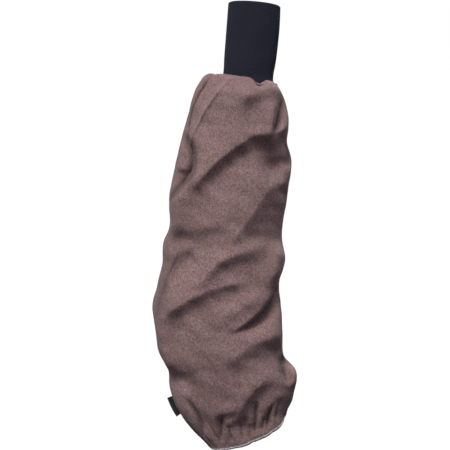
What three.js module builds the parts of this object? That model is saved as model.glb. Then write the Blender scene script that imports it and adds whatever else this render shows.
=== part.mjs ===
// A protective arm sleeve, worn: a wide cloth tube that hangs in slanting folds from a close knit wrist
// cuff and is gathered into an elastic hem at the upper arm. A small woven label is caught in the side seam.
//
// Millimetres, +Z up along the arm towards the hand. The front of the sleeve faces -Y, its side seam is
// at -X. The origin is the middle of the wrist cuff, where the wrist holds the sleeve.

import * as THREE from "three";

// Driving dimensions

const CLOTH = 1.2; // wall of the woven body cloth
const KNIT = 2.4; // wall of the cuff, two layers of rib knit
const SEAM_GAP = 0.5; // clearance between neighbouring pieces
const HEM_HEIGHT = 9; // the turned-up hem that holds the elastic
const HEM_THICKNESS = 3.2; // three layers of cloth round the elastic
const LABEL = { length: 29, reach: 8.5, thickness: 1.4, row: 16.67 }; // a ribbon at that row of the side seam

// Mesh fineness
const BODY_COLUMNS = 64;
const ROLL_ROWS = [0, 0.7, 1.4, 2, 2.5]; // rows of the roll at the cuff, counted in sections
const BODY_ROWS = 33; // even steps from the shoulder to the hem
const CUFF_COLUMNS = 32;

// Sections of the cloth tube, from the seam on the cuff, up over the roll of cloth and down to the hem. Their
// order numbers are the rows that the lines below speak of.
// left and right are the two sides of the outline, front and back the depth, and tip is how far
// the front of the section hangs below its sides.
const BODY_SECTIONS = [
  { at: "seam", leftX: -48, leftZ: -71, rightX: 37.5, rightZ: -79, front: 30, back: 30, tip: 0 },
  { at: "roll", leftX: -55, leftZ: -58, rightX: 36, rightZ: -70, front: 35, back: 34, tip: 2 },
  { at: "crest", leftX: -65, leftZ: -53, rightX: 37.5, rightZ: -67, front: 41, back: 39, tip: 3 },
  { at: "shoulder", leftX: -82, leftZ: -73, rightX: 48, rightZ: -83, front: 51, back: 47, tip: 0 },
  { at: "wrist", leftX: -93, leftZ: -109, rightX: 56, rightZ: -117, front: 57, back: 51, tip: 0 },
  { at: "first fold", leftX: -106, leftZ: -157, rightX: 54, rightZ: -154, front: 57, back: 51, tip: 0 },
  { at: "forearm", leftX: -114, leftZ: -192, rightX: 60, rightZ: -180, front: 58, back: 51, tip: 0 },
  { at: "mid forearm", leftX: -122, leftZ: -235, rightX: 55, rightZ: -228, front: 57, back: 51, tip: 0 },
  { at: "left notch", leftX: -122, leftZ: -279, rightX: 47, rightZ: -279, front: 56, back: 50, tip: 0 },
  { at: "elbow", leftX: -131, leftZ: -305, rightX: 46, rightZ: -300, front: 57, back: 50, tip: 0 },
  { at: "right bulge", leftX: -133, leftZ: -336, rightX: 51, rightZ: -330, front: 58, back: 51, tip: 0 },
  { at: "right notch", leftX: -141, leftZ: -370, rightX: 42, rightZ: -361, front: 58, back: 52, tip: 0 },
  { at: "widest", leftX: -147, leftZ: -395, rightX: 44, rightZ: -392, front: 60, back: 53, tip: 0 },
  { at: "upper arm", leftX: -142, leftZ: -438, rightX: 47, rightZ: -436, front: 60, back: 53, tip: 0 },
  { at: "lower notch", leftX: -137, leftZ: -467, rightX: 48.5, rightZ: -472, front: 60, back: 53, tip: 0 },
  { at: "right pouch", leftX: -124, leftZ: -490, rightX: 67, rightZ: -495, front: 59, back: 52, tip: 3 },
  { at: "pouch end", leftX: -121, leftZ: -520, rightX: 66, rightZ: -517, front: 56, back: 50, tip: 6 },
  { at: "draw-in", leftX: -103, leftZ: -559, rightX: 60, rightZ: -537, front: 50, back: 46, tip: 10 },
  { at: "hem top", leftX: -70, leftZ: -595, rightX: 54.5, rightZ: -544, front: 44, back: 42, tip: 16 },
];

// Sections of the knit cuff, from its folded top edge to the skirt, which is stretched on to the body's seam.
const CUFF_SECTIONS = [
  { at: "top edge", leftX: -34, leftZ: 54, rightX: 44, rightZ: 47.5, front: 24, back: 24, tip: 0 },
  { at: "upper", leftX: -36.5, leftZ: 22, rightX: 42.5, rightZ: 15.5, front: 24.5, back: 24.5, tip: 0 },
  { at: "lower", leftX: -40, leftZ: -24, rightX: 37.5, rightZ: -31, front: 25, back: 25, tip: 0 },
  { at: "base", leftX: -42, leftZ: -53, rightX: 33, rightZ: -60, front: 25.5, back: 25.5, tip: 0 },
  { at: "skirt", leftX: -47.5, leftZ: -72.5, rightX: 37, rightZ: -80.5, front: 29.5, back: 29.5, tip: 0 },
];

// Folds of the cloth. Each runs from one point to another, with its steep side on the left of that direction,
// as seen from the front. bow bends its line towards the steep side. height and easy are the rise to the ridge
// and its width, steep the width of the fall, and depth and fill those of the valley beyond.
const FOLD_COLUMNS = "fromX fromZ toX toZ bow height easy steep depth fill".split(" ");
const FRONT_FOLDS = [
  [2, -139, -76, -209, -5, 9, 34, 15, 11, 40], // under the upper bulge
  [-62, -186, -130, -252, 0, 5, 12, 14, 0, 20], // its ridge runs on to the left
  [68, -114, 4, -138, 9, 6, 12, 40, 28, 76], // under the right lobe
  [-95, -212, -92, -146, -6.5, 3, 10, 10, 8, 22], // front edge over the left strip
  [-127, -247, -88, -198, -1, 3, 10, 10, 8, 22], // its end at the outline
  [-34, -60, -90, -150, -5, 4, 10, 12, 6, 24], // ridge down from the left hump
  [42, -66, -14, -90, -3, 4, 14, 17, 16, 32], // dent below the two humps
  [43, -70, 30, -140, 0, 3, 14, 10, 14, 20], // edge of the right lobe
  [58, -175, 52, -250, 0, 11, 26, 14, 0, 20], // fullness at the right outline
  [48, -296, 40, -372, 0, 9, 26, 12, 0, 20],
  [44, -400, 46, -462, 0, 6, 20, 12, 0, 20],
  [35, -212, -31, -308, 0, 7, 40, 30, 11, 70], // long ridge on the right
  [18, -310, -46, -330, -2, 6, 14, 15, 7, 30], // fold across the elbow
  [-38, -325, -78, -366, -3, 6, 20, 14, 9, 28], // its lower end
  [-36, -266, -128, -284, 8, 3, 24, 15, 8, 28], // left notch
  [-94, -310, -128, -364, -6, 3, 12, 11, 8, 22], // dent at the elbow's left side
  [-144, -434, -120, -345, 3, 2, 14, 10, 6, 30], // front edge below it
  [-30, -367, -132, -414, -8, 7, 26, 15, 11, 32], // deep fold on the left
  [40, -352, -30, -436, 11, 6, 24, 13, 14, 28], // deep crease on the right
  [8, -384, -44, -418, 0, 3, 14, 12, 5, 24], // faint fold in the middle
  [50, -440, -44, -488, -6, 6, 26, 20, 9, 40], // soft fold above the pouch
  [-84, -491, -134, -493, 0, 2.5, 22, 13, 8, 24], // dent in the left edge
  [45, -464, 52, -520, -2, 3, 12, 10, 16, 20], // edge over the right pouch
  [20, -511, -25, -573, -6, 4, 16, 13, 11, 24], // fold into the gathers
  [-103, -520, -71, -593, 0, 2.5, 12, 10, 7, 20], // fold beside the label
  [57, -514, 26, -562, 0, 3, 16, 14, 6, 26], // under the pouch
].map(foldRow);
const BACK_FOLDS = [
  [44, -108, -88, -160, -10, 8, 28, 12, 7, 36],
  [-96, -176, 40, -238, 12, 7, 28, 13, 6, 36],
  [44, -206, -30, -258, 0, 5, 24, 12, 4, 30],
  [-112, -262, 24, -318, 10, 6, 28, 13, 5, 34],
  [40, -290, -96, -352, -8, 7, 28, 12, 6, 34],
  [-134, -356, 8, -404, 8, 6, 28, 13, 5, 34],
  [34, -378, -92, -446, -8, 7, 26, 12, 6, 32],
  [-124, -448, 6, -478, 6, 5, 26, 12, 4, 32],
  [56, -466, -62, -534, -6, 6, 24, 12, 5, 32],
].map(foldRow);
const FOLD_TAPER = 0.5; // share of a fold's length over which each end runs out
const EYE = { x: -39, z: -277.5, distance: 1030 }; // the folds are laid out as they look from this place

function foldRow(row) {
  return Object.fromEntries(FOLD_COLUMNS.map((column, i) => [column, row[i]]));
}

// Deep pleats where the wide cloth is gathered on to the cuff: turn is the angle round the arm from the
// front, towards the right, depth how far the pleat is drawn in, width its half width.
const CUFF_PLEATS = [
  { turn: -52, depth: 4, width: 9 },
  { turn: 28, depth: 7, width: 11 },
  { turn: 84, depth: 2.5, width: 14 },
  { turn: 128, depth: 6, width: 13 },
  { turn: 176, depth: 6, width: 14 },
  { turn: -142, depth: 6, width: 13 },
  { turn: -101, depth: 5, width: 11 },
];
const CREST_SECTION = 2; // the row of the crest in BODY_SECTIONS
const PLEAT_RUN = 2.2; // sections below the crest where the pleats have run out

// Gathers of the elastic hem
const HEM_PLEATS = 16;
const HEM_PLEAT_DEPTH = 2;
const GATHER_SECTION = 15; // the row where the gathers begin

// Small mathematics

const degrees = Math.PI / 180;

function smoothStep(value) {
  const x = Math.min(1, Math.max(0, value));
  return x * x * (3 - 2 * x);
}

// Smooth curves through one table of sections, all running in step from its first row to its last.
function loftCurves(sections) {
  const through = (place) => new THREE.CatmullRomCurve3(sections.map(place), false, "centripetal");
  return {
    last: sections.length - 1,
    left: through((s) => new THREE.Vector3(s.leftX, 0, s.leftZ)),
    right: through((s) => new THREE.Vector3(s.rightX, 0, s.rightZ)),
    depth: through((s) => new THREE.Vector3(s.front, s.back, s.tip)),
  };
}

// A point of the plain lofted tube. row counts sections, turn is the angle round the arm from the front.
function loftPoint(loft, row, turn) {
  const t = row / loft.last;
  const left = loft.left.getPoint(t);
  const right = loft.right.getPoint(t);
  const [front, back, tip] = loft.depth.getPoint(t).toArray();
  const half = right.clone().sub(left).multiplyScalar(0.5);
  const down = new THREE.Vector3(half.z, 0, -half.x).normalize();
  const forward = Math.cos(turn);
  return left
    .add(right)
    .multiplyScalar(0.5)
    .addScaledVector(half, Math.sin(turn))
    .addScaledVector(down, tip * forward)
    .add(new THREE.Vector3(0, -forward * (forward > 0 ? front : back), 0));
}

// Outward normal of the plain lofted tube.
function loftNormal(loft, row, turn) {
  const rowStep = 0.02;
  const turnStep = 0.01;
  const before = Math.max(0, row - rowStep);
  const after = Math.min(loft.last, row + rowStep);
  const along = loftPoint(loft, after, turn).sub(loftPoint(loft, before, turn));
  const round = loftPoint(loft, row, turn + turnStep).sub(loftPoint(loft, row, turn - turnStep));
  return round.cross(along).negate().normalize();
}

// How far a fold lifts the cloth, across its line: an easy rise to the ridge, a steep fall, then a valley
// that fills up.
function liftAcross(fold, off) {
  if (off <= 0) return fold.height * Math.exp(-((off / fold.easy) ** 2));
  const fall = Math.exp(-((off / fold.steep) ** 2));
  const fill = Math.exp(-((off / fold.fill) ** 2));
  return (fold.height + fold.depth) * fall - fold.depth * fill;
}

// How far a list of folds lifts the cloth off the arm at a point of the plain tube.
function foldLift(folds, point) {
  const nearer = EYE.distance / (EYE.distance + point.y);
  const x = EYE.x + (point.x - EYE.x) * nearer;
  const z = EYE.z + (point.z - EYE.z) * nearer;
  return folds.reduce((lift, fold) => {
    const lineX = fold.toX - fold.fromX;
    const lineZ = fold.toZ - fold.fromZ;
    const length = Math.hypot(lineX, lineZ);
    const share = ((x - fold.fromX) * lineX + (z - fold.fromZ) * lineZ) / length ** 2;
    const straight = ((z - fold.fromZ) * lineX - (x - fold.fromX) * lineZ) / length;
    const off = straight - 4 * fold.bow * share * (1 - share);
    const start = smoothStep(share / FOLD_TAPER + 0.5);
    const end = smoothStep((1 - share) / FOLD_TAPER + 0.5);
    return lift + start * end * liftAcross(fold, off);
  }, 0);
}

// How far the pleats at the cuff draw the cloth in.
function cuffPleats(row, turn) {
  const reach = smoothStep(row) * (1 - smoothStep((row - CREST_SECTION) / PLEAT_RUN));
  return CUFF_PLEATS.reduce((sum, pleat) => {
    const away = turn / degrees - pleat.turn;
    const nearest = away - 360 * Math.round(away / 360);
    return sum + reach * pleat.depth * Math.exp(-((nearest / pleat.width) ** 2));
  }, 0);
}

// How far the gathers of the hem draw the cloth in. They are deepest just above the elastic, which flattens
// them.
function hemGathers(loft, row, turn) {
  const grown = smoothStep((row - GATHER_SECTION) / (loft.last - GATHER_SECTION));
  const flattened = 1 - 0.6 * smoothStep((row - loft.last) / 0.7 + 1);
  return HEM_PLEAT_DEPTH * grown * grown * flattened * (1 - Math.sin(HEM_PLEATS * turn));
}

// A point of the body cloth, with its folds, pleats and gathers. The folds move the cloth towards the front or
// the back, and run out at the two sides of the outline.
function bodyPoint(loft, row, turn) {
  const point = loftPoint(loft, row, turn);
  const normal = loftNormal(loft, row, turn);
  const facing = Math.abs(Math.cos(turn));
  const lift = Math.cos(turn) > 0 ? -foldLift(FRONT_FOLDS, point) : foldLift(BACK_FOLDS, point);
  point.addScaledVector(normal, -cuffPleats(row, turn) - hemGathers(loft, row, turn));
  point.y += smoothStep(facing / 0.4) * smoothStep((row - CREST_SECTION) / 1.2) * lift;
  return point;
}

// Rows at even steps down the front of a lofted tube, from one row to its last.
function evenRows(loft, first, count) {
  const samples = 400;
  const rowAt = (i) => first + ((loft.last - first) * i) / samples;
  const lengths = [0];
  let above = loftPoint(loft, first, 0);
  for (let i = 1; i <= samples; i++) {
    const point = loftPoint(loft, rowAt(i), 0);
    lengths.push(lengths[i - 1] + point.distanceTo(above));
    above = point;
  }
  const rows = [];
  for (let k = 0, i = 0; k <= count; k++) {
    const wanted = (lengths[samples] * k) / count;
    while (i < samples - 1 && lengths[i + 1] < wanted) i++;
    rows.push(rowAt(i + (wanted - lengths[i]) / (lengths[i + 1] - lengths[i])));
  }
  return rows;
}

// Solids

// Triangles between successive rings of points. Each ring closes on itself and the last one meets the first,
// as round the section of a hoop.
function ringsGeometry(rings) {
  const columns = rings[0].length;
  const geometry = new THREE.BufferGeometry().setFromPoints(rings.flat());
  const index = [];
  for (let i = 0; i < rings.length; i++) {
    const next = (i + 1) % rings.length;
    for (let j = 0; j < columns; j++) {
      const beside = (j + 1) % columns;
      const [a, b] = [i * columns + j, i * columns + beside];
      const [c, d] = [next * columns + j, next * columns + beside];
      index.push(a, c, b, b, c, d);
    }
  }
  return geometry.setIndex(index);
}

// Outward normals of a grid of rings, from its neighbouring points.
function gridNormals(rings) {
  const columns = rings[0].length;
  return rings.map((ring, i) =>
    ring.map((_, j) => {
      const above = rings[Math.max(0, i - 1)][j];
      const below = rings[Math.min(rings.length - 1, i + 1)][j];
      const along = below.clone().sub(above);
      const round = ring[(j + 1) % columns].clone().sub(ring[(j + columns - 1) % columns]);
      return round.cross(along).negate().normalize();
    }),
  );
}

// A tube wall: the outer rings, then the same rings a wall's thickness inside, back to the start.
function wallGeometry(outer, thickness) {
  const normals = gridNormals(outer);
  const inner = outer.map((ring, i) =>
    ring.map((point, j) => point.clone().addScaledVector(normals[i][j], -thickness)),
  );
  return ringsGeometry([...outer, ...inner.reverse()]);
}

function ringOf(columns, pointAt) {
  return Array.from({ length: columns }, (_, j) => pointAt((2 * Math.PI * j) / columns));
}

const bodyLoft = loftCurves(BODY_SECTIONS);
const cuffLoft = loftCurves(CUFF_SECTIONS);

function sleeveBody() {
  const rows = [...ROLL_ROWS, ...evenRows(bodyLoft, CREST_SECTION + 1, BODY_ROWS)];
  const rings = rows.map((row) => ringOf(BODY_COLUMNS, (turn) => bodyPoint(bodyLoft, row, turn)));
  return wallGeometry(rings, CLOTH);
}

function wristCuff() {
  const rows = [0, 0.5, 1.2, 2, 2.6, 3, 3.5, 4];
  const rings = rows.map((row) => ringOf(CUFF_COLUMNS, (turn) => loftPoint(cuffLoft, row, turn)));
  return wallGeometry(rings, KNIT);
}

// The hem: a flat rounded section carried round the lower edge of the body, hanging below it.
function elasticHem() {
  const edgeRow = bodyLoft.last;
  const half = HEM_THICKNESS / 2;
  const section = [
    { out: half * 0.6, down: SEAM_GAP },
    { out: half, down: HEM_HEIGHT * 0.4 },
    { out: half * 0.5, down: HEM_HEIGHT },
    { out: -half * 0.5, down: HEM_HEIGHT },
    { out: -half, down: HEM_HEIGHT * 0.4 },
    { out: -half * 0.6, down: SEAM_GAP },
  ];
  const rings = section.map(({ out, down }) =>
    ringOf(BODY_COLUMNS, (turn) => {
      const edge = bodyPoint(bodyLoft, edgeRow, turn);
      const above = bodyPoint(bodyLoft, edgeRow - 0.1, turn);
      const away = edge.clone().sub(above).normalize();
      const normal = loftNormal(bodyLoft, edgeRow, turn);
      return edge.addScaledVector(away, down).addScaledVector(normal, out - CLOTH / 2);
    }),
  );
  return ringsGeometry(rings);
}

// The label: a ribbon that follows the side seam and stands out from it, with a rounded folded edge.
function seamLabel() {
  const seam = -Math.PI / 2;
  const stations = 6;
  const half = LABEL.thickness / 2;
  const section = [
    { out: SEAM_GAP, side: -half },
    { out: LABEL.reach - half, side: -half },
    { out: LABEL.reach, side: -half * 0.4 },
    { out: LABEL.reach, side: half * 0.4 },
    { out: LABEL.reach - half, side: half },
    { out: SEAM_GAP, side: half },
  ];
  const top = bodyPoint(bodyLoft, LABEL.row - 0.2, seam);
  const low = bodyPoint(bodyLoft, LABEL.row + 0.2, seam);
  const rowsPerMillimetre = 0.4 / low.distanceTo(top);
  const rings = [];
  for (let k = 0; k < stations; k++) {
    const row = LABEL.row + (k / (stations - 1) - 0.5) * LABEL.length * rowsPerMillimetre;
    const root = bodyPoint(bodyLoft, row, seam);
    const out = loftNormal(bodyLoft, row, seam).setY(0).normalize();
    const side = new THREE.Vector3(0, -1, 0);
    rings.push(
      section.map((s) => root.clone().addScaledVector(out, s.out).addScaledVector(side, s.side)),
    );
  }
  return stripGeometry(rings);
}

// A solid strip through rings of points, closed by flat caps at its two ends.
function stripGeometry(rings) {
  const columns = rings[0].length;
  const geometry = new THREE.BufferGeometry().setFromPoints(rings.flat());
  const index = [];
  for (let i = 0; i + 1 < rings.length; i++) {
    for (let j = 0; j < columns; j++) {
      const beside = (j + 1) % columns;
      const [a, b] = [i * columns + j, i * columns + beside];
      const [c, d] = [a + columns, b + columns];
      index.push(a, c, b, b, c, d);
    }
  }
  const end = (rings.length - 1) * columns;
  for (let j = 1; j + 1 < columns; j++) {
    index.push(0, j, j + 1);
    index.push(end, end + j + 1, end + j);
  }
  return geometry.setIndex(index);
}

// Materials and the scene graph

const brownCloth = new THREE.MeshStandardMaterial({ color: 0x7f6868, roughness: 0.92, metalness: 0 });
const hemCloth = new THREE.MeshStandardMaterial({ color: 0x6e5a5a, roughness: 0.92, metalness: 0 });
const navyKnit = new THREE.MeshStandardMaterial({ color: 0x262833, roughness: 0.95, metalness: 0 });
const blackRibbon = new THREE.MeshStandardMaterial({ color: 0x1b1d27, roughness: 0.7, metalness: 0 });

function piece(name, geometry, material) {
  geometry.computeVertexNormals();
  const mesh = new THREE.Mesh(geometry, material);
  mesh.name = name;
  return mesh;
}

const sleeve = new THREE.Group();
sleeve.name = "protective_sleeve";
sleeve.add(
  piece("wrist_cuff", wristCuff(), navyKnit),
  piece("sleeve_body", sleeveBody(), brownCloth),
  piece("elastic_hem", elasticHem(), hemCloth),
  piece("seam_label", seamLabel(), blackRibbon),
);

export default sleeve;
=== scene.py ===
# %% [markdown]
# # A protective arm sleeve
#
# A wide tube of brown twill guards the forearm and the elbow. A close knit cuff holds it at the wrist, an
# elastic hem gathers it at the upper arm, and between the two the spare cloth hangs in slanting folds.
#
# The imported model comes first, because it is the fixed frame that every piece here keeps to. It is in metres,
# with +Z along the arm towards the hand and the front of the sleeve towards -Y.

import bpy
import numpy as np
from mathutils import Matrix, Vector


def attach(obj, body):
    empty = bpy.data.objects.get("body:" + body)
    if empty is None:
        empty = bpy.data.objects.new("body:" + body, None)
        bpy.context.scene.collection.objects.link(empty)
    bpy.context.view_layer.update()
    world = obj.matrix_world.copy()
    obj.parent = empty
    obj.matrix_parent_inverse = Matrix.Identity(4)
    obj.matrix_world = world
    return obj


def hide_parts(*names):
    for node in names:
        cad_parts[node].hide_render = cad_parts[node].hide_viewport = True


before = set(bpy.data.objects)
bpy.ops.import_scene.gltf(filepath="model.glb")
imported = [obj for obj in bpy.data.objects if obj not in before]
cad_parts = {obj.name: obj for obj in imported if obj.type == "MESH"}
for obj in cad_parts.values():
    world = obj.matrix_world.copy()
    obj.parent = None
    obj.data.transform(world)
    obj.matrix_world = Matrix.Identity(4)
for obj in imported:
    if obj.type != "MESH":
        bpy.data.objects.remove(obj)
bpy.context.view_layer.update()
MM = 0.001

# %% [markdown]
# ## The plain tube
#
# Before it folds, the sleeve is a tube of oval sections. It could be drawn with a Bezier curve and a bevel,
# but a section here changes its width, depth and slant all at once. So a short table gives the two sides of
# the outline and the depths at each station, and a smooth curve runs through every column of it. Two
# parameters then reach any point: row counts the stations down the arm, and turn is the angle round it from
# the front.

# %% Section tables, in millimetres
def table(columns, rows):
    """A table of numbers as {column name: array of that column}."""
    return dict(zip(columns.split(), np.array(rows, float).T))


SECTION_COLUMNS = "left_x left_z right_x right_z front back tip"
BODY = table(SECTION_COLUMNS, [
    (-48, -71, 37.5, -79, 30, 30, 0),  # seam on the cuff
    (-55, -58, 36, -70, 35, 34, 2),  # roll of cloth
    (-65, -53, 37.5, -67, 41, 39, 3),  # crest of the roll
    (-82, -73, 48, -83, 51, 47, 0),
    (-93, -109, 56, -117, 57, 51, 0),
    (-106, -157, 54, -154, 57, 51, 0),
    (-114, -192, 60, -180, 58, 51, 0),  # forearm
    (-122, -235, 55, -228, 57, 51, 0),
    (-122, -279, 47, -279, 56, 50, 0),
    (-131, -305, 46, -300, 57, 50, 0),  # elbow
    (-133, -336, 51, -330, 58, 51, 0),
    (-141, -370, 42, -361, 58, 52, 0),
    (-147, -395, 44, -392, 60, 53, 0),  # widest
    (-142, -438, 47, -436, 60, 53, 0),
    (-137, -467, 48.5, -472, 60, 53, 0),
    (-124, -490, 67, -495, 59, 52, 3),  # pouch on the right
    (-121, -520, 66, -517, 56, 50, 6),
    (-103, -559, 60, -537, 50, 46, 10),
    (-70, -595, 54.5, -544, 44, 42, 16),  # top of the hem
])
CUFF = table(SECTION_COLUMNS, [
    (-34, 54, 44, 47.5, 24, 24, 0),  # folded top edge
    (-36.5, 22, 42.5, 15.5, 24.5, 24.5, 0),
    (-40, -24, 37.5, -31, 25, 25, 0),
    (-42, -53, 33, -60, 25.5, 25.5, 0),
    (-47.5, -72.5, 37, -80.5, 29.5, 29.5, 0),  # skirt on the seam
])
ROLL_CREST, ELBOW = 2, 9  # rows of the body's table, counted from 0
LAST = len(BODY["front"]) - 1
print(LAST + 1, "stations for the body,", len(CUFF["front"]), "for the cuff")


# %% A smooth curve through the columns
def through(columns, row):
    """A Catmull-Rom curve through a table's rows, with knots spaced by the root of the distance between
    them."""
    points = np.stack(columns, -1)
    beyond = 2 * points[[0, -1]] - points[[1, -2]]
    knots = np.vstack([beyond[:1], points, beyond[1:]])
    first = np.clip(np.floor(row).astype(int), 0, len(points) - 2)
    along = (row - first)[..., None]
    before, start, end, after = (knots[first + k] for k in range(4))

    def gap(a, b):
        return np.maximum(np.linalg.norm(b - a, axis=-1, keepdims=True), 1e-6) ** 0.5

    g0, g1, g2 = gap(before, start), gap(start, end), gap(end, after)
    leave = g1 * ((start - before) / g0 - (end - before) / (g0 + g1)) + end - start
    arrive = end - start + g1 * ((after - end) / g2 - (after - start) / (g1 + g2))
    bend = 3 * (end - start) - 2 * leave - arrive
    twist = 2 * (start - end) + leave + arrive
    return start + along * (leave + along * (bend + along * twist))


left_side = through([BODY["left_x"], BODY["left_z"]], np.array([LAST / 2]))
print("left side half way down:", left_side[0].round(1).tolist())

# %% The tube round the columns
FLATNESS = 0.7  # power of the cosine; 1 would be an oval
ROW_STEP, TURN_STEP = 0.02, 0.01


def unit(vectors):
    """The same directions with length 1."""
    return vectors / np.maximum(np.linalg.norm(vectors, axis=-1, keepdims=True), 1e-9)


def tube(sections, row, turn):
    """The middle of a section, plus half its width times sin(turn), plus its depth times a power of
    cos(turn) towards -Y, which is a little flatter than an oval. The front also hangs tip millimetres below
    the sides."""
    left = through([sections["left_x"], sections["left_z"]], row)
    right = through([sections["right_x"], sections["right_z"]], row)
    front, back, tip = np.moveaxis(through([sections[c] for c in ("front", "back", "tip")], row), -1, 0)
    half = (right - left) / 2
    down = unit(np.stack([half[..., 1], -half[..., 0]], -1))
    forward = np.cos(turn)
    flat = (left + right) / 2 + half * np.sin(turn)[..., None] + down * (tip * forward)[..., None]
    depth = -np.sign(forward) * np.abs(forward) ** FLATNESS * np.where(forward > 0, front, back)
    return np.stack([flat[..., 0], depth, flat[..., 1]], -1)


def tube_normal(sections, row, turn):
    """The outward direction: the step down the tube crossed with the step round it."""
    last = len(sections["front"]) - 1
    above = tube(sections, np.maximum(0, row - ROW_STEP), turn)
    below = tube(sections, np.minimum(last, row + ROW_STEP), turn)
    beside = tube(sections, row, turn + TURN_STEP) - tube(sections, row, turn - TURN_STEP)
    return unit(np.cross(below - above, beside))


print("elbow front:", tube(BODY, np.array([ELBOW]), np.array([0.0]))[0].round(1).tolist())

# %% [markdown]
# ## The folds
#
# Each fold of the hanging cloth is a soft ridge with an easy side, a steep side and a valley beyond it. Cloth
# simulation could make folds, but not the very ones that this sleeve shows. So each one is a row of a table:
# where its line runs in the front view, how it bows, how high its ridge is, how wide its easy and its steep
# side are, how deep the valley is and how far it takes to fill up again, and how crisp the edge is, from
# about 1 for a sharp one to about 2 for a soft one. The steep side lies on the left of the direction in which
# the line runs. A row without a valley is fullness, which rounds out the cloth.
#
# Creases are the thin pinched lines between the folds, and have a table of their own. All the lines are laid
# out as they look from the camera, a metre in front, so the near cloth looks a little larger.

# %% Fold tables, in millimetres
# from_x, from_z, to_x, to_z, bow, height, easy, steep, depth, fill, crisp
FRONT_FOLDS = [
    (3, -144, -86, -220, -6, 8, 34, 12, 8, 34, 1.5),  # under the upper bulge
    (-70, -196, -130, -252, 0, 6, 12, 42, 0, 20, 2),  # its ridge runs on to the left
    (68, -116, 3, -144, 9, 6, 12, 34, 40, 80, 1.4),  # under the right lobe
    (60, -165, 18, -169, 4, 2, 10, 16, 9, 28, 2),  # foot of the pocket under it
    (-95, -212, -92, -146, -6.5, 3, 10, 6, 9, 16, 1.4),  # front edge over the lower left strip
    (-127, -247, -88, -198, -1, 3, 10, 6, 5, 16, 1.4),  # its end at the outline
    (-90, -150, -34, -60, 5, 1.5, 14, 5, 6.5, 22, 1.6),  # ridge down from the left hump
    (42, -63, -14, -87, -3, 4, 14, 17, 14, 32, 2),  # dent below the two humps
    (43, -70, 30, -140, 0, 4, 14, 6, 20, 15, 1.3),  # edge of the right lobe
    (-64, -80, 34, -88, 0, 4, 34, 10, 0, 20, 2),  # fullness below the roll
    (57, -188, 53, -222, 0, 14, 16, 12, 0, 20, 2),  # fullness at the right outline
    (45, -310, 40, -364, 0, 12, 16, 12, 0, 20, 2),
    (42, -402, 44, -456, 0, 6, 16, 12, 0, 20, 2),
    (-114, -288, -116, -224, 0, 13, 16, 11, 0, 20, 2),  # fullness at the left outline
    (-122, -501, -138, -426, 0, 11, 17, 7, 0, 20, 2),
    (-93, -171, -110, -164, 0, 1.5, 6, 5, 2.5, 9, 2),  # small folds on the left strip
    (-94, -194, -112, -192, 0, 1.5, 6, 5, 2.5, 9, 2),
    (35, -212, -31, -308, 0, 8, 40, 33, 13, 66, 1.3),  # long ridge on the right
    (21, -311, -46, -331, -2, 6, 11, 18, 6, 32, 1.6),  # fold across the elbow
    (-38, -325, -78, -366, -3, 6, 20, 15, 8, 30, 1.7),  # its lower end
    (-36, -266, -132, -283, 8, 3, 24, 15, 7, 28, 1.8),  # left notch
    (-94, -310, -128, -364, -6, 3, 12, 12, 11, 27, 1.5),  # dent at the elbow's left side
    (-144, -434, -120, -345, 3, 8, 26, 9, 14, 30, 2.2),  # front edge below it
    (-16, -363, -132, -414, -8, 7, 26, 16, 10, 32, 1.5),  # deep fold on the left
    (40, -352, -18, -432, 11, 8, 24, 10, 22, 21, 1.3),  # deep crease on the right
    (8, -384, -44, -418, 0, 3, 14, 12, 5, 24, 2),  # faint fold in the middle
    (52, -434, -36, -484, -4, 6, 26, 18, 5.5, 36, 1.6),  # soft fold above the pouch
    (-84, -493, -134, -497, 0, 2.5, 22, 12, 4, 22, 1.8),  # dent in the left edge
    (45, -470, 51.5, -514, -3, 3, 10, 7, 26, 15, 1.1),  # edge over the right pouch
    (63, -484, 66, -518, 0, 12, 7, 7, 0, 10, 2),  # fullness of the pouch
    (-46, -653, -119, -527, 0, 9.5, 20, 7, 0, 20, 2),  # fullness at the lower left outline
    (20, -511, -25, -573, -6, 4, 16, 13, 11, 24, 1.6),  # fold into the gathers
    (-24, -556, -54, -563, 0, 2, 10, 9, 9, 18, 1.7),  # dents above the hem
    (-10, -564, -36, -576, 0, 1.5, 8, 8, 7, 15, 1.7),
    (-103, -520, -71, -593, 0, 2.5, 12, 7, 5, 15, 1.5),  # fold beside the label
    (58, -512, 27, -566, 0, 2, 16, 13, 3.5, 26, 1.8),  # under the pouch
]
BACK_FOLDS = [
    (44, -108, -88, -160, -10, 8, 28, 12, 7, 36, 1.6),
    (-96, -176, 40, -238, 12, 7, 28, 13, 6, 36, 1.8),
    (44, -206, -30, -258, 0, 5, 24, 12, 4, 30, 1.8),
    (-112, -262, 24, -318, 10, 6, 28, 13, 5, 34, 1.8),
    (40, -290, -96, -352, -8, 7, 28, 12, 6, 34, 1.6),
    (-134, -356, 8, -404, 8, 6, 28, 13, 5, 34, 1.8),
    (34, -378, -92, -446, -8, 7, 26, 12, 6, 32, 1.6),
    (-124, -448, 6, -478, 6, 5, 26, 12, 4, 32, 1.8),
    (56, -466, -62, -534, -6, 6, 24, 12, 5, 32, 1.8),
]
print(len(FRONT_FOLDS), "folds in front and", len(BACK_FOLDS), "behind")

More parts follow.
